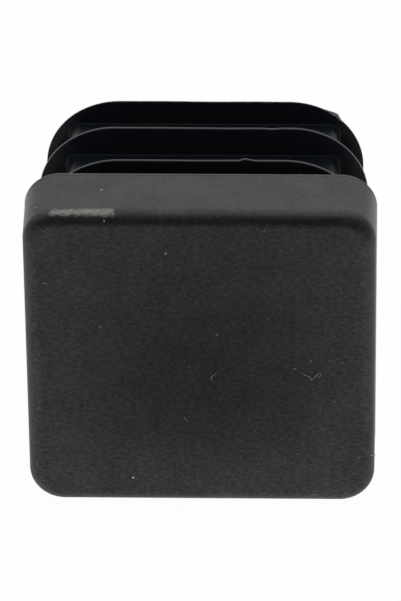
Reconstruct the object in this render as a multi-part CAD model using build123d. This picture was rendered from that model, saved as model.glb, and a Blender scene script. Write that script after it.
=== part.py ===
from build123d import *
import os

# Push-in cap for the end of a 25 mm square tube, moulded in one piece. Lengths in millimetres.
# It lies on one side wall of its head. The origin is the centre of the face, the axis runs
# along Y, and the spigot points towards +Y.

# Head: the square plate that stays outside and covers the tube's end. It is widest at the seat,
# where the mould parts, and has draft from there to the face.
HEAD_WIDTH = 25.0
HEAD_THICKNESS = 5.58
HEAD_CORNER_RADIUS = 2.6
HEAD_DRAFT_DEGREES = 0.6
FACE_EDGE_RADIUS = 1.1
SEAT_EDGE_RADIUS = 0.2

# Spigot: the hollow square core that enters the tube
SPIGOT_WIDTH = 19.5
SPIGOT_CORNER_RADIUS = 0.8
SPIGOT_PAST_LEADING_FIN = 1.05
SPIGOT_LEAD_IN = 0.4

# Hollow: open at the spigot's end and cored out into the head, with draft for its core pin
SPIGOT_WALL = 1.1
FACE_WALL = 2.8
HOLLOW_CORNER_RADIUS = 0.8
HOLLOW_FLOOR_RADIUS = 0.5
HOLLOW_DRAFT_DEGREES = 0.7

# Fins: thin blades around the spigot that bend against the tube's bore
FIN_RIM_THICKNESS = 0.24
FIN_ROOT_THICKNESS = 0.6
FIN_ROOT_RADIUS = 0.12

NEAR_FIN_FROM_SEAT = 2.61
NEAR_FIN_HEIGHT = 2.13
NEAR_FIN_CORNER_RADIUS = 6.0

MIDDLE_FIN_FROM_NEAR_FIN = 4.27
MIDDLE_FIN_HEIGHT = 2.13
MIDDLE_FIN_CORNER_RADIUS = 5.5

LEADING_FIN_FROM_MIDDLE_FIN = 4.18
LEADING_FIN_HEIGHT = 1.79
LEADING_FIN_CORNER_RADIUS = 5.4
LEADING_FIN_LEAD_IN = 0.15

# Distances from the face, worked out along the axis
NEAR_FIN_STATION = HEAD_THICKNESS + NEAR_FIN_FROM_SEAT
MIDDLE_FIN_STATION = NEAR_FIN_STATION + MIDDLE_FIN_FROM_NEAR_FIN
LEADING_FIN_STATION = MIDDLE_FIN_STATION + LEADING_FIN_FROM_MIDDLE_FIN
SPIGOT_END = LEADING_FIN_STATION + SPIGOT_PAST_LEADING_FIN

MOUTH_WIDTH = SPIGOT_WIDTH - 2 * SPIGOT_WALL
STATION_TOLERANCE = 0.001


def square_section(station, width, corner_radius):
    """A rounded square across the axis, at a distance along it from the face."""
    plane = Plane(origin=(0, station, 0), x_dir=(1, 0, 0), z_dir=(0, 1, 0))
    return plane * RectangleRounded(width, width, corner_radius)


def edges_at(solid, station):
    """The edges that lie flat at one distance from the face."""
    return solid.edges().filter_by_position(
        Axis.Y, station - STATION_TOLERANCE, station + STATION_TOLERANCE
    )


def make_head():
    seat = square_section(HEAD_THICKNESS, HEAD_WIDTH, HEAD_CORNER_RADIUS)
    head = extrude(seat, -HEAD_THICKNESS, taper=HEAD_DRAFT_DEGREES)
    head = fillet(edges_at(head, 0), FACE_EDGE_RADIUS)
    return fillet(edges_at(head, HEAD_THICKNESS), SEAT_EDGE_RADIUS)


def make_spigot():
    section = square_section(HEAD_THICKNESS, SPIGOT_WIDTH, SPIGOT_CORNER_RADIUS)
    spigot = extrude(section, SPIGOT_END - HEAD_THICKNESS)
    return chamfer(edges_at(spigot, SPIGOT_END), SPIGOT_LEAD_IN)


def make_fin(station, height, corner_radius):
    """One blade: an even rim, and two flanks that thicken to the root on the spigot."""
    width = SPIGOT_WIDTH + 2 * height
    rim = FIN_RIM_THICKNESS / 2
    root = FIN_ROOT_THICKNESS / 2
    blade = extrude(square_section(station - rim, width, corner_radius), FIN_RIM_THICKNESS)
    for side in (-1, 1):
        outer = square_section(station + side * rim, width, corner_radius)
        inner = square_section(station + side * root, SPIGOT_WIDTH, SPIGOT_CORNER_RADIUS)
        blade += loft([outer, inner], ruled=True)
    return blade


def make_finned_spigot():
    fins = (
        (NEAR_FIN_STATION, NEAR_FIN_HEIGHT, NEAR_FIN_CORNER_RADIUS),
        (MIDDLE_FIN_STATION, MIDDLE_FIN_HEIGHT, MIDDLE_FIN_CORNER_RADIUS),
        (LEADING_FIN_STATION, LEADING_FIN_HEIGHT, LEADING_FIN_CORNER_RADIUS),
    )
    spigot = make_spigot()
    for station, height, corner_radius in fins:
        spigot += make_fin(station, height, corner_radius)
    roots = ShapeList()
    for station, height, corner_radius in fins:
        roots += edges_at(spigot, station - FIN_ROOT_THICKNESS / 2)
        roots += edges_at(spigot, station + FIN_ROOT_THICKNESS / 2)
    spigot = fillet(roots, FIN_ROOT_RADIUS)
    leading_rim = edges_at(spigot, LEADING_FIN_STATION + FIN_RIM_THICKNESS / 2)
    return chamfer(leading_rim, LEADING_FIN_LEAD_IN)


def make_hollow():
    mouth = square_section(SPIGOT_END, MOUTH_WIDTH, HOLLOW_CORNER_RADIUS)
    hollow = extrude(mouth, FACE_WALL - SPIGOT_END, taper=HOLLOW_DRAFT_DEGREES)
    return fillet(edges_at(hollow, FACE_WALL), HOLLOW_FLOOR_RADIUS)


os.makedirs("parts", exist_ok=True)
end_cap = make_head() + make_finned_spigot() - make_hollow()
export_step(end_cap, "parts/end_cap.step")
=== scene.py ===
import math

import bpy
from mathutils import Matrix, Vector


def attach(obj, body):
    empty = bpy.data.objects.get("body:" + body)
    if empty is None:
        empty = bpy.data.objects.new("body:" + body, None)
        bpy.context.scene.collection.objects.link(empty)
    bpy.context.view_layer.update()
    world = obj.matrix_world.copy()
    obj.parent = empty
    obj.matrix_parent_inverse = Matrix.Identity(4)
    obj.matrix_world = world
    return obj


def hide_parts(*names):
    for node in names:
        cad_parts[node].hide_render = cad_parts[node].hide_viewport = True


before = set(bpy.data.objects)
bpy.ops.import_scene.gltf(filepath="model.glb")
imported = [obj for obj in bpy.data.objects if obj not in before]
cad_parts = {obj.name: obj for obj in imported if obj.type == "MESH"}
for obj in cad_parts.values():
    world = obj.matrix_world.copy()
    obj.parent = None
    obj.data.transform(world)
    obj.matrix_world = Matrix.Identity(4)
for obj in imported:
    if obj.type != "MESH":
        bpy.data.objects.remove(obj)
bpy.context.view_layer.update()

mm = 0.001  # every size below is in millimetres, and Blender works in metres


# helpers

def hexToLinear(text):
    channels = [int(text[i:i + 2], 16) / 255 for i in (1, 3, 5)]
    return [c / 12.92 if c <= 0.04045 else ((c + 0.055) / 1.055) ** 2.4 for c in channels] + [1.0]


def addNode(tree, kind, settings=None):
    # a setting is a property of the node, or an input by name or number;
    # an input that is given a node or a socket is linked to it
    node = tree.nodes.new(kind)
    for name, value in (settings or {}).items():
        if isinstance(name, str) and hasattr(node, name):
            setattr(node, name, value)
        elif isinstance(value, bpy.types.Node):
            tree.links.new(value.outputs[0], node.inputs[name])
        elif isinstance(value, bpy.types.NodeSocket):
            tree.links.new(value, node.inputs[name])
        else:
            node.inputs[name].default_value = value
    return node


def addObject(name, data):
    obj = bpy.data.objects.new(name, data)
    bpy.context.scene.collection.objects.link(obj)
    return obj


def newGeometryTree(name, inputs):
    tree = bpy.data.node_groups.new(name, "GeometryNodeTree")
    tree.interface.new_socket("Geometry", in_out="INPUT", socket_type="NodeSocketGeometry")
    for label, kind in inputs:
        tree.interface.new_socket(label, in_out="INPUT", socket_type=kind)
    tree.interface.new_socket("Geometry", in_out="OUTPUT", socket_type="NodeSocketGeometry")
    return tree


def runTree(name, mesh, tree, values):
    # runs the tree on a mesh and keeps only the plain result
    source = addObject(name + "Source", mesh)
    modifier = source.modifiers.new(name, "NODES")
    modifier.node_group = tree
    for item in tree.interface.items_tree:
        if item.item_type == "SOCKET" and item.in_out == "INPUT" and item.name in values:
            modifier[item.identifier] = values[item.name]
    depsgraph = bpy.context.evaluated_depsgraph_get()
    result = bpy.data.meshes.new_from_object(source.evaluated_get(depsgraph))
    bpy.data.objects.remove(source)
    return addObject(name, result)


def lerp(a, b, t):
    return a + (b - a) * t


def direction(azimuth, elevation):
    # from the cap outwards, in degrees; azimuth 0 is the side that its face looks to
    turn, rise = math.radians(azimuth), math.radians(elevation)
    return Vector((math.sin(turn) * math.cos(rise), -math.cos(turn) * math.cos(rise), math.sin(rise)))


# the camera: a long lens, well back and above the cap

cameraSizes = {
    "azimuth": 1.85,  # this, elevation and roll are in degrees
    "elevation": 34.17,
    "roll": -0.71,
    "distance": 403.4,
    "aim": (0.07, 0.0, 5.374),
    "focalPixels": 5710.7,
    "frame": (401, 601),
    "sensor": 36.0,
    "clip": (0.01, 10.0),  # metres
}


def cameraAxes(s):
    roll = math.radians(s["roll"])
    back = direction(s["azimuth"], s["elevation"])
    level = (-back).cross(Vector((0, 0, 1))).normalized()
    upright = level.cross(-back)
    across = level * math.cos(roll) + upright * math.sin(roll)
    up = upright * math.cos(roll) - level * math.sin(roll)
    return across, up, back


def makeCamera(s):
    data = bpy.data.cameras.new("stillCamera")
    data.sensor_width = s["sensor"]
    data.lens = s["focalPixels"] * s["sensor"] / max(s["frame"])
    data.clip_start, data.clip_end = s["clip"]
    camera = addObject("stillCamera", data)
    across, up, back = cameraAxes(s)
    place = Vector(s["aim"]) + back * s["distance"]
    axes = Matrix((across, up, back)).transposed().to_4x4()
    camera.matrix_world = Matrix.Translation(place * mm) @ axes
    bpy.context.scene.camera = camera


makeCamera(cameraSizes)
print("camera placed")


# moulded cap: rounded-square rings strung along the axis, joined by Geometry Nodes

capSizes = {
    "headWidth": 25.0,
    "headThickness": 5.58,
    "headCorner": 2.6,
    "headDraft": 0.6,  # degrees
    "faceEdge": 1.1,
    "seatEdge": 0.2,
    "partingBead": (0.02, 0.09),  # how far it stands out, and half its width
    "spigotWidth": 19.5,
    "spigotCorner": 0.8,
    "pastLeadingFin": 1.05,
    "leadIn": 0.4,
    "leadInCorner": 0.4,  # how much the corner radius loses to it, as a share of it
    "leadInEase": 0.3,  # it starts in by this share of the soft edge
    "wall": 1.1,
    "faceWall": 2.8,
    "hollowCorner": 0.8,
    "hollowFloorEdge": 0.5,
    "hollowDraft": 0.7,  # degrees
    "finRim": 0.24,
    "finRoot": 0.6,
    "finFoot": 0.12,
    "softEdge": 0.05,  # every moulded edge is a little rounded
    "fins": (  # from the seat or the fin before, height, corner radius
        (2.61, 2.13, 6.0),
        (4.27, 2.13, 5.5),
        (4.18, 1.79, 5.4),
    ),
    "leadingFinLeadIn": 0.15,
    "finRings": (4, 6, 3),  # round the foot, up the side, round the rim's edge
    "arcPoints": 32,  # in each corner
    "sidePoints": 72,  # along each side
    "ripple": 0.05,
    "rippleLength": 5.0,
    "rippleShift": 3.7,  # moves each fin to a stretch of noise of its own
    "seed": 4,
    "weld": 0.0001,  # closes the seam and the two poles
    "flash": (
        # the fin, a place on its rim (x, z), which way the flash stands out there and how far,
        # how far it takes to rise before that place and to fall away after it,
        # and how deep the fin is rubbed pale
        (1, (3.0, 11.88), (0.0, 1.0), 0.14, 0.3, 0.9, 0.0),
        (2, (4.9, 11.88), (0.0, 1.0), -0.05, 0.6, 0.9, 0.0),
        (3, (9.62, 10.42), (0.6, 0.8), 0.22, 1.2, 0.5, 0.38),
    ),
    "flashFrom": 0.05,  # share of the fin's height where flash begins
    "flashFade": 4,  # how fast it fades from the rim down
}


class Rings:
    def __init__(self):
        self.rows = []  # station, half width, corner radius, flex, fin number

    def add(self, station, half, corner, flex=0.0, fin=0):
        self.rows.append((station, half, max(corner, 0.0), flex, fin))

    def arc(self, station, half, radius, start, end, steps, cornerAt):
        # start and end are degrees from the outward direction towards the spigot's end
        for i in range(steps + 1):
            angle = math.radians(lerp(start, end, i / steps))
            ringHalf = half + radius * math.cos(angle)
            self.add(station + radius * math.sin(angle), ringHalf, cornerAt(ringHalf))


def finRows(rings, s, number, station, height, corner, leadIn):
    low = s["spigotWidth"] / 2
    high = low + height
    foot, edge = s["finFoot"], s["softEdge"]
    footSteps, sideSteps, rimSteps = s["finRings"]

    def share(half):
        return min(max((half - low) / height, 0.0), 1.0)

    def cornerAt(half):
        return lerp(s["spigotCorner"], corner, share(half))

    def thick(half):
        return lerp(s["finRoot"], s["finRim"], share(half)) / 2

    climb = []  # one side of the fin: distance from its middle, half width
    for i in range(footSteps + 1):
        angle = math.radians(90 * i / footSteps)
        half = low + foot * (1 - math.cos(angle))
        climb.append((thick(half) + foot * (1 - math.sin(angle)), half))
    for i in range(1, sideSteps + 1):
        half = lerp(low + foot, high - edge, i / sideSteps)
        climb.append((thick(half), half))
    for i in range(1, rimSteps + 1):
        angle = math.radians(90 * i / rimSteps)
        half = high - edge * (1 - math.sin(angle))
        climb.append((s["finRim"] / 2 - edge * (1 - math.cos(angle)), half))
    for offset, half in climb:
        rings.add(station - offset, half, cornerAt(half), share(half), number)
    for offset, half in reversed(climb):
        # a lead-in bevels the rim on the side that enters the tube first
        offset = min(offset, s["finRim"] / 2 + (high - half) - leadIn)
        rings.add(station + offset, half, cornerAt(half), share(half), number)


def capRings(s):
    rings = Rings()
    edge = s["softEdge"]
    headHalf, spigotHalf = s["headWidth"] / 2, s["spigotWidth"] / 2
    thickness, seatEdge, faceEdge = s["headThickness"], s["seatEdge"], s["faceEdge"]
    headSlope = math.tan(math.radians(s["headDraft"]))
    beadSize, beadWidth = s["partingBead"]

    def headCorner(half):
        return s["headCorner"] - (headHalf - half)

    def wallHalf(at):
        return headHalf - (thickness - at) * headSlope

    # the face, from its middle out, and its rounded edge
    flatHalf = wallHalf(faceEdge) - faceEdge
    for share in (0.0, 0.04, 0.12, 0.24, 0.36, 0.48, 0.6, 0.7, 0.8, 0.88, 0.94, 0.98, 0.992):
        rings.add(0.0, flatHalf * share, headCorner(flatHalf) * share)
    rings.arc(faceEdge, flatHalf, faceEdge, -90, 0, steps=14, cornerAt=headCorner)

    # the side wall, up to a fine bead where the mould halves meet
    bead = thickness - seatEdge - beadWidth
    for share in (0.03, 0.15, 0.35, 0.55, 0.75, 0.9, 0.97, 1.0):
        at = lerp(faceEdge, bead - beadWidth, share)
        rings.add(at, wallHalf(at), headCorner(wallHalf(at)))
    for turn in (0.25, 0.5, 0.75, 1.0, 1.25, 1.5, 1.75):
        at = bead + (turn - 1) * beadWidth
        half = wallHalf(at) + beadSize * (1 - math.cos(math.pi * turn)) / 2
        rings.add(at, half, headCorner(half))

    # the seat, in from its edge to the foot of the spigot
    edgeHalf = wallHalf(thickness) - seatEdge
    rings.arc(thickness - seatEdge, edgeHalf, seatEdge, 0, 90, steps=5, cornerAt=headCorner)
    for share in (0.03, 0.3, 0.6, 0.9, 0.985, 1.0):
        half = lerp(edgeHalf, spigotHalf, share)
        corner = lerp(headCorner(edgeHalf), s["spigotCorner"], share)
        rings.add(thickness, half, corner)
    rings.add(thickness + edge, spigotHalf, s["spigotCorner"])

    # the spigot and its fins
    station = thickness
    reach = s["finRoot"] / 2 + s["finFoot"]
    for number, (gap, height, corner) in enumerate(s["fins"], 1):
        before = station + (edge if number == 1 else reach)
        station += gap
        for share in (0.04, 0.3, 0.7, 0.96):
            rings.add(lerp(before, station - reach, share), spigotHalf, s["spigotCorner"])
        leadIn = s["leadingFinLeadIn"] if number == len(s["fins"]) else 0.0
        finRows(rings, s, number, station, height, corner, leadIn)

    # the lead-in at its end, and the lip round the mouth
    end = station + s["pastLeadingFin"]
    leadIn = s["leadIn"]
    rings.add(end - leadIn - edge, spigotHalf, s["spigotCorner"])
    rings.add(end - leadIn, spigotHalf - edge * s["leadInEase"], s["spigotCorner"])
    for share in (0.1, 0.5, 0.9):
        corner = s["spigotCorner"] - leadIn * share * s["leadInCorner"]
        rings.add(end - leadIn * (1 - share), spigotHalf - leadIn * share, corner)
    lipHalf = spigotHalf - leadIn
    mouthHalf = spigotHalf - s["wall"]
    lipCorner = s["spigotCorner"] - leadIn * s["leadInCorner"]
    for share in (0.0, 0.08, 0.5, 0.92):
        half = lerp(lipHalf - edge, mouthHalf + edge, share)
        rings.add(end, half, lerp(lipCorner, s["hollowCorner"], share))
    rings.arc(end - edge, mouthHalf + edge, edge, 90, 180, steps=3, cornerAt=lambda half: s["hollowCorner"])

    # the hollow, down its walls and in across its floor
    floor, floorEdge = s["faceWall"], s["hollowFloorEdge"]
    slope = math.tan(math.radians(s["hollowDraft"]))

    def hollowHalf(at):
        return mouthHalf - (end - at) * slope

    def hollowCorner(half):
        return s["hollowCorner"] - (mouthHalf - half)

    for share in (0.03, 0.15, 0.3, 0.45, 0.6, 0.75, 0.9, 0.98):
        at = lerp(end - edge, floor + floorEdge, share)
        rings.add(at, hollowHalf(at), hollowCorner(hollowHalf(at)))
    floorHalf = hollowHalf(floor + floorEdge)
    flatFloor = floorHalf - floorEdge
    rings.arc(floor + floorEdge, flatFloor, floorEdge, 0, -90, steps=6, cornerAt=hollowCorner)
    for share in (0.99, 0.96, 0.85, 0.7, 0.5, 0.3, 0.1, 0.0):
        rings.add(floor, flatFloor * share, hollowCorner(flatFloor) * share)
    return rings.rows


def profileMesh(rows):
    # one point for each ring; the sizes ride on it as attributes
    mesh = bpy.data.meshes.new("capProfile")
    mesh.from_pydata([(0, row[0] * mm, row[1] * mm) for row in rows],
                     [(i, i + 1) for i in range(len(rows) - 1)], [])
    units = {"station": mm, "halfWidth": mm, "corner": mm, "flex": 1.0, "finNumber": 1.0}
    for column, (name, unit) in enumerate(units.items()):
        attribute = mesh.attributes.new(name, "FLOAT", "POINT")
        attribute.data.foreach_set("value", [row[column] * unit for row in rows])
    return mesh


def ringSweepTree():
    tree = newGeometryTree("ringSweep", (
        ("Arc Points", "NodeSocketInt"),
        ("Side Points", "NodeSocketInt"),
        ("Ripple", "NodeSocketFloat"),
        ("Ripple Length", "NodeSocketFloat"),
        ("Ripple Shift", "NodeSocketFloat"),
        ("Seed", "NodeSocketInt"),
        ("Weld", "NodeSocketFloat"),
        ("Material", "NodeSocketMaterial"),
    ))
    given = addNode(tree, "NodeGroupInput").outputs
    mathNode = "ShaderNodeMath"
    noiseSpread = 4.0  # noise keeps near its middle, so it is spread from -2 to 2

    def rowValue(name):
        stored = addNode(tree, "GeometryNodeInputNamedAttribute", {"data_type": "FLOAT", "Name": name})
        return addNode(tree, "GeometryNodeSampleIndex", {
            "data_type": "FLOAT", "domain": "POINT",
            "Geometry": given["Geometry"], "Value": stored, "Index": row})

    size = addNode(tree, "GeometryNodeAttributeDomainSize", {
        "component": "MESH", "Geometry": given["Geometry"]})
    rowCount = size.outputs["Point Count"]
    quarter = addNode(tree, mathNode, {"operation": "ADD", 0: given["Arc Points"], 1: given["Side Points"]})
    around = addNode(tree, mathNode, {"operation": "MULTIPLY_ADD", 0: quarter, 1: 4.0, 2: 1.0})
    grid = addNode(tree, "GeometryNodeMeshGrid", {
        "Size X": 1.0, "Size Y": 1.0, "Vertices X": around, "Vertices Y": rowCount})
    index = addNode(tree, "GeometryNodeInputIndex")
    row = addNode(tree, mathNode, {"operation": "FLOORED_MODULO", 0: index, 1: rowCount})
    columnShare = addNode(tree, mathNode, {"operation": "DIVIDE", 0: index, 1: rowCount})
    column = addNode(tree, mathNode, {"operation": "FLOOR", 0: columnShare})
    middle = addNode(tree, mathNode, {"operation": "ADD", 0: column, 1: 0.5})
    cornerShare = addNode(tree, mathNode, {"operation": "DIVIDE", 0: middle, 1: quarter})
    corner = addNode(tree, mathNode, {"operation": "FLOOR", 0: cornerShare})
    start = addNode(tree, mathNode, {"operation": "MULTIPLY", 0: corner, 1: quarter})
    local = addNode(tree, mathNode, {"operation": "SUBTRACT", 0: column, 1: start})

    # one quarter of a ring: round the corner, then along the side to the next one
    turn = addNode(tree, "ShaderNodeMapRange", {
        "Value": local, "From Min": 0.0, "From Max": given["Arc Points"], "To Max": math.pi / 2})
    along = addNode(tree, "ShaderNodeMapRange", {
        "Value": local, "From Min": given["Arc Points"], "From Max": quarter,
        "To Min": 1.0, "To Max": -1.0})
    radius = rowValue("corner")
    inset = addNode(tree, mathNode, {"operation": "SUBTRACT", 0: rowValue("halfWidth"), 1: radius})
    sideX = addNode(tree, mathNode, {"operation": "MULTIPLY", 0: inset, 1: along})
    cosine = addNode(tree, mathNode, {"operation": "COSINE", 0: turn})
    sine = addNode(tree, mathNode, {"operation": "SINE", 0: turn})
    x = addNode(tree, mathNode, {"operation": "MULTIPLY_ADD", 0: radius, 1: cosine, 2: sideX})
    z = addNode(tree, mathNode, {"operation": "MULTIPLY_ADD", 0: radius, 1: sine, 2: inset})
    flat = addNode(tree, "ShaderNodeCombineXYZ", {"X": x, "Y": rowValue("station"), "Z": z})
    quarterTurn = addNode(tree, mathNode, {"operation": "MULTIPLY", 0: corner, 1: -math.pi / 2})
    placed = addNode(tree, "ShaderNodeVectorRotate", {
        "rotation_type": "Y_AXIS", "Vector": flat, "Angle": quarterTurn})

    # thin fins never cool quite flat: they wander along the axis, most at the rim
    flex = rowValue("flex")
    fin = rowValue("finNumber")
    shrunk = addNode(tree, "ShaderNodeVectorMath", {
        "operation": "DIVIDE", 0: placed, 1: given["Ripple Length"]})
    finSeed = addNode(tree, mathNode, {
        "operation": "MULTIPLY_ADD", 0: fin, 1: given["Ripple Shift"], 2: given["Seed"]})
    noise = addNode(tree, "ShaderNodeTexNoise", {
        "noise_dimensions": "4D", "Scale": 1.0, "Detail": 1.0, "Vector": shrunk, "W": finSeed})
    swing = addNode(tree, mathNode, {
        "operation": "MULTIPLY_ADD", 0: noise, 1: noiseSpread, 2: -noiseSpread / 2})
    give = addNode(tree, mathNode, {"operation": "MULTIPLY", 0: flex, 1: flex})
    reach = addNode(tree, mathNode, {"operation": "MULTIPLY", 0: given["Ripple"], 1: give})
    wander = addNode(tree, mathNode, {"operation": "MULTIPLY", 0: swing, 1: reach})
    drift = addNode(tree, "ShaderNodeCombineXYZ", {"Y": wander})

    shaped = addNode(tree, "GeometryNodeSetPosition", {
        "Geometry": grid.outputs["Mesh"], "Position": placed, "Offset": drift})
    marked = addNode(tree, "GeometryNodeStoreNamedAttribute", {
        "data_type": "FLOAT", "domain": "POINT", "Name": "flex", "Geometry": shaped, "Value": flex})
    numbered = addNode(tree, "GeometryNodeStoreNamedAttribute", {
        "data_type": "FLOAT", "domain": "POINT", "Name": "finNumber", "Geometry": marked, "Value": fin})
    closed = addNode(tree, "GeometryNodeMergeByDistance", {
        "Distance": given["Weld"], "Geometry": numbered})
    outward = addNode(tree, "GeometryNodeFlipFaces", {"Mesh": closed})
    smooth = addNode(tree, "GeometryNodeSetShadeSmooth", {"Geometry": outward})
    real = addNode(tree, "GeometryNodeRealizeInstances", {"Geometry": smooth})
    painted = addNode(tree, "GeometryNodeSetMaterial", {"Geometry": real, "Material": given["Material"]})
    addNode(tree, "NodeGroupOutput", {"Geometry": painted})
    return tree


def bell(distance, rise, fall):
    reach = abs(distance) / (rise if distance < 0 else fall)
    return 0.0 if reach >= 1 else 0.5 + 0.5 * math.cos(math.pi * reach)


def raiseFlash(mesh, s):
    # moulding flash pushes a fin's rim outwards; "rubbed" is how far inside the pale rub a point lies,
    # and the rub tails off twice as slowly as the flash
    flex = mesh.attributes["flex"].data
    finNumber = mesh.attributes["finNumber"].data
    rubbed = mesh.attributes.new("rubbed", "FLOAT", "POINT").data
    for vertex in mesh.vertices:
        share = flex[vertex.index].value
        rubbed[vertex.index].value = -1.0
        place = vertex.co / mm
        for number, (x, z), (outX, outZ), size, rise, fall, depth in s["flash"]:
            onFin = round(finNumber[vertex.index].value) == number and share >= s["flashFrom"]
            if not onFin or place.x * outX + place.z * outZ < 0:
                continue
            along = (place.x - x) * outZ - (place.z - z) * outX
            push = bell(along, rise, fall)
            vertex.co += Vector((outX, 0, outZ)) * push * size * share ** s["flashFade"] * mm
            if depth:
                fromRim = (1 - share) * s["fins"][number - 1][1]
                rubbed[vertex.index].value = bell(along, rise, fall * 2) * depth - fromRim


# materials

def newMaterial(name):
    material = bpy.data.materials.new(name)
    material.use_nodes = True
    return material, material.node_tree.nodes["Principled BSDF"]


surfaceSizes = {
    "ior": 1.51,
    "baseColour": "#141919",
    "headRoughness": 0.5,
    # painted shade: past the seat, the fins and spigot take a darker, bluer colour than the head, the tone
    # of their faces in the shade between the fins
    "finShadeColour": "#13171c",
    "finRoughness": 0.3,
    "finSheen": 0.12,
    "rimSheen": 0.33,
    "rimFrom": (0.96, 0.985),  # share of the fin's height where the rim's sheen sets in
    "seat": capSizes["headThickness"],
    "seatBlend": 0.05,
    "wallFrom": (0.1, 0.7),  # from the face, where its grain gives way to that of the walls
    "streak": (0.42, 0.42, 0.23),  # the face's grain is drawn out level, as its cavity was dressed
    "pit": 0.22,  # grain of the side walls, coarser than the real one, which is too fine to show
    "pitDepth": 0.22,  # swing of the pits, as a share of the noise's
    "pitLevel": 0.33,
    "cloud": 2.5,  # soft patches of more and less sheen
    "cloudRange": (0.3, 0.7),
    "cloudSheen": (0.87, 1.13),
    "grainDepth": 0.006,
    "grainRange": (0.39, 0.7),
    "grainSheen": (0.35, 0.8),
    "bloom": 0.3,  # slip wax that has come to the surface of the head's walls
    "bloomRoughness": 0.35,
    "bloomFrom": (0.5, 1.1),  # from the face, where the bloom sets in
    "scuffColour": "#939591",
    "scuffRoughness": 0.8,
    "scuffEnds": (-10.7, -5.92),
    "scuffLow": (0.41, 0.37),  # distance from the face at each end
    "scuffHigh": (0.95, 1.06),
    "scuffTaper": 0.4,
    "scuffAbove": 11.0,  # only the head's upper side is scuffed
    "shred": (0.34, 0.15, 0.15),
    "shredRange": (0.35, 0.68),
    "shredWhite": (0.6, 1.0),  # how white the dullest and the palest shreds are
    "ragged": 0.5,  # how far the shreds move a mark's edge
    "wornRange": (-0.04, 0.2),  # how far inside the edge the wear starts and is full
}


def markScuff(mesh, s):
    # how far each point lies inside the scuffed band on the top edge of the face
    scuff = mesh.attributes.new("scuff", "FLOAT", "POINT").data
    left, right = s["scuffEnds"]
    for vertex in mesh.vertices:
        x, y, z = vertex.co / mm
        share = min(max((x - left) / (right - left), 0.0), 1.0)
        low, high = lerp(*s["scuffLow"], share), lerp(*s["scuffHigh"], share)
        taper = min(max((x - left) / s["scuffTaper"], 0.0), 1.0) * (high - low) / 2
        across = taper - abs(y - (low + high) / 2)
        scuff[vertex.index].value = min(across, right - x) if z > s["scuffAbove"] else -1.0
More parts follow.
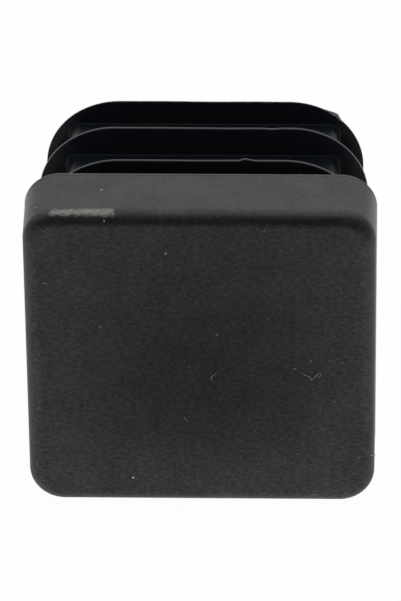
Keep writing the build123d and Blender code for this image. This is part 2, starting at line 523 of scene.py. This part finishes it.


# low-density polyethylene, moulded against a spark-eroded cavity: a dense black with a low, waxy sheen;
# the fins come from a polished part of the mould, so they are glossier; they look blacker because they
# reflect less and because their darker, bluer colour is painted shade, the tone of their faces in the shade
# between them
def mouldedPolyethylene(s):
    material, shader = newMaterial("mouldedPolyethylene")
    tree = material.node_tree
    objectPlace = addNode(tree, "ShaderNodeTexCoord").outputs["Object"]
    place = addNode(tree, "ShaderNodeVectorMath", {"operation": "SCALE", 0: objectPlace, "Scale": 1 / mm})
    along = addNode(tree, "ShaderNodeSeparateXYZ", {0: place}).outputs["Y"]
    onFins = addNode(tree, "ShaderNodeMapRange", {
        "Value": along, "From Min": s["seat"] - s["seatBlend"], "From Max": s["seat"] + s["seatBlend"]})
    onWalls = addNode(tree, "ShaderNodeMapRange", {
        "Value": along, "From Min": s["wallFrom"][0], "From Max": s["wallFrom"][1]})

    # grain: short level streaks on the face, round pits on the walls
    drawnOut = addNode(tree, "ShaderNodeVectorMath", {"operation": "DIVIDE", 0: place, 1: s["streak"]})
    streaks = addNode(tree, "ShaderNodeTexNoise", {
        "Scale": 1.0, "Detail": 2.0, "Roughness": 0.9, "Vector": drawnOut})
    pits = addNode(tree, "ShaderNodeTexNoise", {"Scale": 1 / s["pit"], "Detail": 1.0, "Vector": place})
    softPits = addNode(tree, "ShaderNodeMath", {
        "operation": "MULTIPLY_ADD", 0: pits, 1: s["pitDepth"], 2: s["pitLevel"]})
    grain = addNode(tree, "ShaderNodeMix", {0: onWalls, 2: streaks, 3: softPits})
    clouds = addNode(tree, "ShaderNodeTexNoise", {"Scale": 1 / s["cloud"], "Detail": 2.0, "Vector": place})
    cloudSheen = addNode(tree, "ShaderNodeMapRange", {
        "Value": clouds, "From Min": s["cloudRange"][0], "From Max": s["cloudRange"][1],
        "To Min": s["cloudSheen"][0], "To Max": s["cloudSheen"][1]})

    # the scuff and the rubbed fin: torn, whitened plastic with a ragged edge
    torn = addNode(tree, "ShaderNodeVectorMath", {"operation": "DIVIDE", 0: place, 1: s["shred"]})
    shreds = addNode(tree, "ShaderNodeTexNoise", {
        "Scale": 1.0, "Detail": 3.0, "Roughness": 0.7, "Vector": torn})
    ragged = addNode(tree, "ShaderNodeMath", {
        "operation": "MULTIPLY_ADD", 0: shreds, 1: s["ragged"], 2: -s["ragged"] / 2})
    scuffMark = addNode(tree, "ShaderNodeAttribute", {"attribute_name": "scuff"}).outputs["Fac"]
    rubMark = addNode(tree, "ShaderNodeAttribute", {"attribute_name": "rubbed"}).outputs["Fac"]
    deepest = addNode(tree, "ShaderNodeMath", {"operation": "MAXIMUM", 0: scuffMark, 1: rubMark})
    inside = addNode(tree, "ShaderNodeMath", {"operation": "ADD", 0: deepest, 1: ragged})
    worn = addNode(tree, "ShaderNodeMapRange", {
        "Value": inside, "From Min": s["wornRange"][0], "From Max": s["wornRange"][1]})
    whitened = addNode(tree, "ShaderNodeMapRange", {
        "Value": shreds, "From Min": s["shredRange"][0], "From Max": s["shredRange"][1],
        "To Min": s["shredWhite"][0], "To Max": s["shredWhite"][1]})
    pale = addNode(tree, "ShaderNodeMath", {"operation": "MULTIPLY", 0: worn, 1: whitened})

    # colour, roughness and sheen; the seat parts the head from the glossier fins, whose darker, bluer
    # colour is painted shade
    # the head keeps the plastic's own colour; past the seat the colour is painted shade
    unscuffedWithFinShade = addNode(tree, "ShaderNodeMix", {
        "data_type": "RGBA", 0: onFins, 6: hexToLinear(s["baseColour"]), 7: hexToLinear(s["finShadeColour"])})
    colour = addNode(tree, "ShaderNodeMix", {
        "data_type": "RGBA", 0: pale, 6: unscuffedWithFinShade.outputs[2], 7: hexToLinear(s["scuffColour"])})
    unworn = addNode(tree, "ShaderNodeMix", {0: onFins, 2: s["headRoughness"], 3: s["finRoughness"]})
    roughness = addNode(tree, "ShaderNodeMix", {0: worn, 2: unworn, 3: s["scuffRoughness"]})
    grainSheen = addNode(tree, "ShaderNodeMapRange", {
        "Value": grain, "From Min": s["grainRange"][0], "From Max": s["grainRange"][1],
        "To Min": s["grainSheen"][0], "To Max": s["grainSheen"][1]})
    headSheen = addNode(tree, "ShaderNodeMath", {"operation": "MULTIPLY", 0: grainSheen, 1: cloudSheen})
    finShare = addNode(tree, "ShaderNodeAttribute", {"attribute_name": "flex"}).outputs["Fac"]
    finSheen = addNode(tree, "ShaderNodeMapRange", {
        "Value": finShare, "From Min": s["rimFrom"][0], "From Max": s["rimFrom"][1],
        "To Min": s["finSheen"], "To Max": s["rimSheen"]})
    sheen = addNode(tree, "ShaderNodeMix", {0: onFins, 2: headSheen, 3: finSheen})
    relief = addNode(tree, "ShaderNodeBump", {"Distance": s["grainDepth"] * mm, "Height": grain})

    # bloom is a dry, pale film that shows where the walls turn away from the eye
    film = addNode(tree, "ShaderNodeMapRange", {
        "Value": along, "From Min": s["bloomFrom"][0], "From Max": s["bloomFrom"][1],
        "To Max": s["bloom"]})
    bloom = addNode(tree, "ShaderNodeMix", {0: onFins, 2: film, 3: 0.0})

    tree.links.new(colour.outputs[2], shader.inputs["Base Color"])
    tree.links.new(roughness.outputs[0], shader.inputs["Roughness"])
    tree.links.new(sheen.outputs[0], shader.inputs["Specular IOR Level"])
    tree.links.new(bloom.outputs[0], shader.inputs["Sheen Weight"])
    tree.links.new(relief.outputs[0], shader.inputs["Normal"])
    shader.inputs["Sheen Roughness"].default_value = s["bloomRoughness"]
    shader.inputs["IOR"].default_value = s["ior"]
    return material


cap = runTree("endCapMoulding", profileMesh(capRings(capSizes)), ringSweepTree(), {
    "Arc Points": capSizes["arcPoints"],
    "Side Points": capSizes["sidePoints"],
    "Ripple": capSizes["ripple"] * mm,
    "Ripple Length": capSizes["rippleLength"] * mm,
    "Ripple Shift": capSizes["rippleShift"],
    "Seed": capSizes["seed"],
    "Weld": capSizes["weld"] * mm,
    "Material": mouldedPolyethylene(surfaceSizes),
})
raiseFlash(cap.data, capSizes)
markScuff(cap.data, surfaceSizes)
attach(cap, "root")
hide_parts("end_cap")
print("cap moulded", len(cap.data.vertices), "vertices")


# dust: the specks that show best, each in its place, and faint ones scattered by Geometry Nodes

dustSizes = {
    "specks": (  # place, size, how much longer than wide, how pale
        ((-4.95, 0, -10.1), 1.7, 1.0, 1.0),
        ((-2.35, 0, 9.35), 1.8, 1.3, 0.3),
        ((1.2, 0, 2.45), 1.7, 1.0, 0.2),
        ((7.9, 0, 0.25), 1.1, 1.0, 0.35),
        ((6.75, 0, -0.45), 1.2, 1.5, 0.25),
        ((-7.05, 0, 3.1), 1.8, 1.0, 0.15),
        ((9.55, 0, -3.3), 1.9, 1.2, 0.12),
        ((11.35, 0, -8.2), 1.8, 1.2, 0.12),
        ((8.9, 0, -5.65), 1.8, 1.0, 0.13),
        ((10.1, 0, 0.1), 1.4, 1.4, 0.12),
        ((10.95, 0, -9.6), 1.8, 1.0, 0.12),
        ((4.85, 0, 3.8), 1.4, 1.0, 0.08),
        ((-1.45, 0, 8.1), 1.5, 1.3, 0.08),
        ((9.2, 0, 0.3), 1.6, 1.3, 0.06),
        ((4.6, 0, 11.35), 1.7, 1.2, 0.04),
        ((3.4, 0, -5.0), 1.5, 1.2, 0.05),
        ((3.85, 0, -5.85), 1.3, 1.0, 0.12),
        ((-0.8, 0, -0.3), 1.1, 1.6, 0.08),
        ((6.9, 0, -7.9), 1.5, 1.0, 0.08),
        ((-10.55, 0, 11.3), 1.9, 1.2, 0.04),
        ((-11.6, 0, 7.95), 1.6, 1.0, 0.05),
        ((-10.9, 0, 6.75), 0.55, 10.0, 0.2),
        ((-7.95, 0, -6.93), 0.7, 4.5, 0.12),
        ((8.05, 0.03, -11.53), 0.9, 8.0, 0.22),
        ((-6.62, 0.17, 11.94), 1.5, 1.0, 0.3),
        ((-6.92, 3.3, 12.5), 1.7, 1.6, 0.45),
        ((-3.42, 4.78, 12.5), 0.9, 4.5, 0.24),
        ((-11.48, 1.8, 11.9), 2.2, 1.6, 0.24),
        ((-11.9, 2.6, 11.5), 2.0, 1.0, 0.28),
        ((9.8, 4.7, 12.5), 1.2, 1.2, 0.2),
        ((7.0, 5.4, 12.5), 1.2, 1.5, 0.2),
    ),
    "grain": 0.052,  # radius of a speck of size 1
    "perSquareMetre": 400000,
    "faint": (0.2, 0.55),  # sizes of the faint ones
    "faintTone": (0.0, 0.3),
    "seed": 11,
    "middle": 4.0,  # a depth inside the head, to tell its outside from the hollow
    "reach": 5.3,  # how deep along the head the faint ones lie
    "lowestFacing": -0.3,  # Z of the surface's direction, below which none lie
    "dull": "#474641",
    "pale": "#e2ded2",
}


def speckMesh(specks):
    mesh = bpy.data.meshes.new("speckPlaces")
    mesh.from_pydata([Vector(place) * mm for place, size, stretch, tone in specks], [], [])
    sizes = mesh.attributes.new("speckSize", "FLOAT_VECTOR", "POINT")
    scales = [value for place, size, stretch, tone in specks for value in (size * stretch, size, size)]
    sizes.data.foreach_set("vector", scales)
    tones = mesh.attributes.new("speckTone", "FLOAT", "POINT")
    tones.data.foreach_set("value", [tone for place, size, stretch, tone in specks])
    return mesh


def dustTree():
    tree = newGeometryTree("dust", (
        ("Surface", "NodeSocketObject"),
        ("Density", "NodeSocketFloat"),
        ("Grain", "NodeSocketFloat"),
        ("Faint Min", "NodeSocketVector"),
        ("Faint Max", "NodeSocketVector"),
        ("Tone Min", "NodeSocketFloat"),
        ("Tone Max", "NodeSocketFloat"),
        ("Middle", "NodeSocketVector"),
        ("Reach", "NodeSocketFloat"),
        ("Lowest Facing", "NodeSocketFloat"),
        ("Seed", "NodeSocketInt"),
        ("Material", "NodeSocketMaterial"),
    ))
    given = addNode(tree, "NodeGroupInput").outputs
    surface = addNode(tree, "GeometryNodeObjectInfo", {0: given["Surface"]}).outputs["Geometry"]
    grain = addNode(tree, "GeometryNodeMeshIcoSphere", {"Radius": given["Grain"], "Subdivisions": 1})

    # specks in their places, dropped on the nearest bit of surface
    nearest = addNode(tree, "GeometryNodeProximity", {0: surface})
    dropped = addNode(tree, "GeometryNodeSetPosition", {"Geometry": given["Geometry"], "Position": nearest})
    sizes = addNode(tree, "GeometryNodeInputNamedAttribute", {
        "data_type": "FLOAT_VECTOR", "Name": "speckSize"})
    placed = addNode(tree, "GeometryNodeInstanceOnPoints", {
        "Points": dropped, "Instance": grain, "Scale": sizes})

    # faint ones on the head, where its surface looks away from the middle and not down
    position = addNode(tree, "GeometryNodeInputPosition")
    normal = addNode(tree, "GeometryNodeInputNormal")
    fromMiddle = addNode(tree, "ShaderNodeVectorMath", {
        "operation": "SUBTRACT", 0: position, 1: given["Middle"]})
    outward = addNode(tree, "ShaderNodeVectorMath", {"operation": "DOT_PRODUCT", 0: normal, 1: fromMiddle})
    along = addNode(tree, "ShaderNodeSeparateXYZ", {0: position}).outputs["Y"]
    facing = addNode(tree, "ShaderNodeSeparateXYZ", {0: normal}).outputs["Z"]
    outside = addNode(tree, "FunctionNodeCompare", {
        "operation": "GREATER_THAN", 0: outward.outputs["Value"], 1: 0.0})
    onHead = addNode(tree, "FunctionNodeCompare", {"operation": "LESS_THAN", 0: along, 1: given["Reach"]})
    notUnder = addNode(tree, "FunctionNodeCompare", {
        "operation": "GREATER_THAN", 0: facing, 1: given["Lowest Facing"]})
    onOutside = addNode(tree, "FunctionNodeBooleanMath", {"operation": "AND", 0: onHead, 1: outside})
    dusty = addNode(tree, "FunctionNodeBooleanMath", {"operation": "AND", 0: onOutside, 1: notUnder})
    scattered = addNode(tree, "GeometryNodeDistributePointsOnFaces", {
        "Mesh": surface, "Selection": dusty, "Density": given["Density"], "Seed": given["Seed"]})
    faint = addNode(tree, "FunctionNodeRandomValue", {
        "data_type": "FLOAT_VECTOR", 0: given["Faint Min"], 1: given["Faint Max"], "Seed": given["Seed"]})
    anyTone = addNode(tree, "FunctionNodeRandomValue", {
        2: given["Tone Min"], 3: given["Tone Max"], "Seed": given["Seed"]}).outputs[1]
    toned = addNode(tree, "GeometryNodeStoreNamedAttribute", {
        "Geometry": scattered.outputs[0], "Name": "speckTone", "Value": anyTone})
    strewn = addNode(tree, "GeometryNodeInstanceOnPoints", {
        "Points": toned, "Instance": grain, "Scale": faint})

    joined = addNode(tree, "GeometryNodeJoinGeometry")
    tree.links.new(placed.outputs[0], joined.inputs[0])
    tree.links.new(strewn.outputs[0], joined.inputs[0])
    real = addNode(tree, "GeometryNodeRealizeInstances", {"Geometry": joined})
    painted = addNode(tree, "GeometryNodeSetMaterial", {"Geometry": real, "Material": given["Material"]})
    addNode(tree, "NodeGroupOutput", {"Geometry": painted})
    return tree


# household dust: dry grains, from dull to nearly white, that stay paler than the plastic
def paleDust(dull, pale):
    material, shader = newMaterial("paleDust")
    tree = material.node_tree
    tone = addNode(tree, "ShaderNodeAttribute", {"attribute_name": "speckTone"}).outputs["Fac"]
    colour = addNode(tree, "ShaderNodeMix", {
        "data_type": "RGBA", 0: tone, 6: hexToLinear(dull), 7: hexToLinear(pale)})
    tree.links.new(colour.outputs[2], shader.inputs["Base Color"])
    shader.inputs["Roughness"].default_value = 0.95
    return material


dust = runTree("dustSpecks", speckMesh(dustSizes["specks"]), dustTree(), {
    "Surface": cap,
    "Density": dustSizes["perSquareMetre"],
    "Grain": dustSizes["grain"] * mm,
    "Faint Min": [dustSizes["faint"][0]] * 3,
    "Faint Max": [dustSizes["faint"][1]] * 3,
    "Tone Min": dustSizes["faintTone"][0],
    "Tone Max": dustSizes["faintTone"][1],
    "Middle": [0.0, dustSizes["middle"] * mm, 0.0],
    "Reach": dustSizes["reach"] * mm,
    "Lowest Facing": dustSizes["lowestFacing"],
    "Seed": dustSizes["seed"],
    "Material": paleDust(dustSizes["dull"], dustSizes["pale"]),
})
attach(dust, "root")
print("dust settled", len(dust.data.polygons), "faces")


# lint: short textile fibres that cling to the face

lintSizes = {
    "strands": {  # along X, out from the face, up, and thickness as a share of the radius
        "curl": (
            (0.86, 0.02, -1.54, 0.5), (0.76, 0.05, -1.34, 1.0), (0.77, 0.06, -1.2, 0.9),
            (0.86, 0.07, -1.08, 1.2), (1.0, 0.06, -0.97, 0.9), (1.16, 0.02, -0.84, 0.5),
        ),
        "sprig": (
            (7.34, 0.02, -0.8, 0.7), (7.45, 0.05, -0.98, 0.9), (7.7, 0.06, -1.05, 0.9),
            (7.83, 0.06, -1.2, 1.1), (7.87, 0.04, -1.32, 1.8), (8.06, 0.02, -1.39, 0.7),
        ),
        "loop": (
            (8.04, 0.02, -1.3, 0.6), (8.12, 0.06, -1.1, 0.9), (8.23, 0.08, -1.0, 2.0),
            (8.35, 0.1, -0.86, 1.1), (8.47, 0.12, -0.75, 0.8), (8.58, 0.1, -0.86, 0.9),
            (8.5, 0.07, -1.04, 0.8), (8.34, 0.05, -1.13, 0.8), (8.1, 0.02, -1.15, 0.7),
        ),
        "flatThread": (
            (-1.19, 0.0, -4.7, 0.6), (-1.17, 0.01, -4.82, 0.8), (-1.08, 0.01, -4.95, 0.8),
            (-1.0, 0.01, -5.06, 0.8), (-0.92, 0.0, -5.16, 0.6),
        ),
        "sideHair": (
            (12.08, -0.25, -8.165, 0.8), (12.22, -0.37, -8.245, 2.0), (12.34, -0.53, -8.355, 3.2),
            (12.42, -0.72, -8.485, 3.8),
        ),
    },
    "radius": 0.022,
    "pointsAlong": 40,
    "pointsAround": 8,
    "colour": "#918b7f",
}


def strandMesh(strands):
    points = [point for strand in strands for point in strand]
    edges, start = [], 0
    for strand in strands:
        edges += [(start + i, start + i + 1) for i in range(len(strand) - 1)]
        start += len(strand)
    mesh = bpy.data.meshes.new("strandPoints")
    mesh.from_pydata([(x * mm, -out * mm, z * mm) for x, out, z, thick in points], edges, [])
    attribute = mesh.attributes.new("thick", "FLOAT", "POINT")
    attribute.data.foreach_set("value", [point[3] for point in points])
    return mesh


def fibreTree():
    tree = newGeometryTree("fibres", (
        ("Radius", "NodeSocketFloat"),
        ("Points Along", "NodeSocketInt"),
        ("Points Around", "NodeSocketInt"),
        ("Material", "NodeSocketMaterial"),
    ))
    given = addNode(tree, "NodeGroupInput").outputs
    line = addNode(tree, "GeometryNodeMeshToCurve", {"Mesh": given["Geometry"]})
    bent = addNode(tree, "GeometryNodeCurveSplineType", {"spline_type": "CATMULL_ROM", "Curve": line})
    thick = addNode(tree, "GeometryNodeInputNamedAttribute", {"data_type": "FLOAT", "Name": "thick"})
    radius = addNode(tree, "ShaderNodeMath", {"operation": "MULTIPLY", 0: thick, 1: given["Radius"]})
    finer = addNode(tree, "GeometryNodeResampleCurve", {"Curve": bent, "Count": given["Points Along"]})
    section = addNode(tree, "GeometryNodeCurvePrimitiveCircle", {
        "Resolution": given["Points Around"], "Radius": 1.0})
    tube = addNode(tree, "GeometryNodeCurveToMesh", {
        "Curve": finer, "Profile Curve": section, "Scale": radius, "Fill Caps": True})
    smooth = addNode(tree, "GeometryNodeSetShadeSmooth", {"Geometry": tube})
    real = addNode(tree, "GeometryNodeRealizeInstances", {"Geometry": smooth})
    painted = addNode(tree, "GeometryNodeSetMaterial", {"Geometry": real, "Material": given["Material"]})
    addNode(tree, "NodeGroupOutput", {"Geometry": painted})
    return tree


# cotton lint: soft and matt, a warm grey that stands out on the black
def cottonLint(colour):
    material, shader = newMaterial("cottonLint")
    shader.inputs["Base Color"].default_value = hexToLinear(colour)
    shader.inputs["Roughness"].default_value = 1.0
    return material


lint = runTree("lintFibres", strandMesh(lintSizes["strands"].values()), fibreTree(), {
    "Radius": lintSizes["radius"] * mm,
    "Points Along": lintSizes["pointsAlong"],
    "Points Around": lintSizes["pointsAround"],
    "Material": cottonLint(lintSizes["colour"]),
})
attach(lint, "root")
print("lint laid", len(lint.data.polygons), "faces")


# floor, world and lamps, and dark cards that paint shade into reflections

setSizes = {
    "floorWidth": 1600.0,
    "floorZ": -capSizes["headWidth"] / 2,
    "floorColour": "#f6f6f6",
    "floorGlow": 0.97,  # how far the paper is lifted to white; the rest keeps the cap's shadow
    "fill": 0.5,
}


def seenDirectly(tree):
    path = addNode(tree, "ShaderNodeLightPath").outputs
    either = addNode(tree, "ShaderNodeMath", {
        "operation": "MAXIMUM", 0: path["Is Camera Ray"], 1: path["Is Glossy Ray"]})
    return addNode(tree, "ShaderNodeMath", {
        "operation": "MAXIMUM", 0: either, 1: path["Is Transmission Ray"]})


# uncoated paper: matt and white, lit up where it is seen, so that it stays an even ground
def whitePaper(colour, glow):
    material = newMaterial("whitePaper")[0]
    tree = material.node_tree
    tree.nodes.clear()
    paper = addNode(tree, "ShaderNodeBsdfDiffuse", {"Color": hexToLinear(colour)})
    white = addNode(tree, "ShaderNodeEmission", {"Color": (1, 1, 1, 1), "Strength": 1.0})
    share = addNode(tree, "ShaderNodeMath", {"operation": "MULTIPLY", 0: seenDirectly(tree), 1: glow})
    mix = addNode(tree, "ShaderNodeMixShader", {0: share, 1: paper, 2: white})
    addNode(tree, "ShaderNodeOutputMaterial", {"Surface": mix})
    return material


def makeFloor(s):
    half = s["floorWidth"] / 2 * mm
    mesh = bpy.data.meshes.new("paperFloor")
    corners = [(-half, -half), (half, -half), (half, half), (-half, half)]
    mesh.from_pydata([(x, y, s["floorZ"] * mm) for x, y in corners], [], [(0, 1, 2, 3)])
    mesh.materials.append(whitePaper(s["floorColour"], s["floorGlow"]))
    addObject("paperFloor", mesh)


def makeWorld(fillStrength):
    world = bpy.data.worlds.new("studio")
    bpy.context.scene.world = world
    world.use_nodes = True
    tree = world.node_tree
    tree.nodes.clear()
    fill = addNode(tree, "ShaderNodeBackground", {"Color": (1, 1, 1, 1), "Strength": fillStrength})
    white = addNode(tree, "ShaderNodeBackground", {"Color": (1, 1, 1, 1), "Strength": 1.0})
    mix = addNode(tree, "ShaderNodeMixShader", {0: seenDirectly(tree), 1: fill, 2: white})
    addNode(tree, "ShaderNodeOutputWorld", {"Surface": mix})


def addSoftbox(name, away, distance, size, radiance, colour):
    data = bpy.data.lights.new(name, "AREA")
    data.shape = "RECTANGLE"
    data.size, data.size_y = size[0] * mm, size[1] * mm
    data.energy = radiance * math.pi * data.size * data.size_y
    data.color = colour
    lamp = addObject(name, data)
    lamp.location = away * distance * mm
    lamp.rotation_mode = "QUATERNION"
    lamp.rotation_quaternion = away.to_track_quat("Z", "Y")


def addFlag(name, points, width, shade, azimuth):
    # a dark card bent through points of the Y-Z plane and turned about Z; only reflections see it, so it is
    # painted shade: a dark reflection that stands in for shade round the cap
    half = width / 2
    mesh = bpy.data.meshes.new(name)
    mesh.from_pydata([(x * mm, y * mm, z * mm) for y, z in points for x in (-half, half)], [],
                     [(2 * i, 2 * i + 1, 2 * i + 3, 2 * i + 2) for i in range(len(points) - 1)])
    material, shader = newMaterial(name)
    shader.inputs["Base Color"].default_value = hexToLinear(shade)
    shader.inputs["Roughness"].default_value = 1.0
    shader.inputs["Specular IOR Level"].default_value = 0.0
    mesh.materials.append(material)
    flag = addObject(name, mesh)
    flag.rotation_euler.z = math.radians(azimuth)
    flag.visible_camera = False
    flag.visible_diffuse = False
    flag.visible_shadow = False


def arcPoints(radius, start, end, steps):
    angles = [math.radians(lerp(start, end, i / steps)) for i in range(steps + 1)]
    return [(-radius * math.cos(a), radius * math.sin(a)) for a in angles]


softboxes = {  # where it hangs, distance, width and height, radiance, colour
    "topSoftbox": (direction(180, 70), 420, (600, 500), 0.71, (1.0, 0.98, 0.93)),
    "backSoftbox": (direction(180, 28), 500, (700, 350), 0.1, (1.0, 1.0, 1.0)),
}
flags = {  # points along the card, width, shade, azimuth in degrees
    # painted dark reflection of the dim side where the camera stands, from the floor in front to nearly
    # overhead
    "overheadFlag": (arcPoints(180, -3, 82, 12), 600, "#4a4a4a", 0),
    # painted shade in reflections, low at either side of the cap, where the floor lies in shade
    "sideFlagL": (arcPoints(200, 3, 22, 6), 320, "#606060", -100),
    "sideFlagR": (arcPoints(200, 3, 22, 6), 320, "#606060", 100),
    # painted shadow of the cap on the floor in front of its face, seen only in the face's reflection
    "lowFlag": ([(-8, -12.3), (-33, -12.3)], 17, "#606060", 0),
}

makeFloor(setSizes)
makeWorld(setSizes["fill"])
for name, values in softboxes.items():
    addSoftbox(name, *values)
for name, values in flags.items():
    addFlag(name, *values)
bpy.context.scene.view_settings.view_transform = "Standard"
print("floor, world, lamps and flags set")
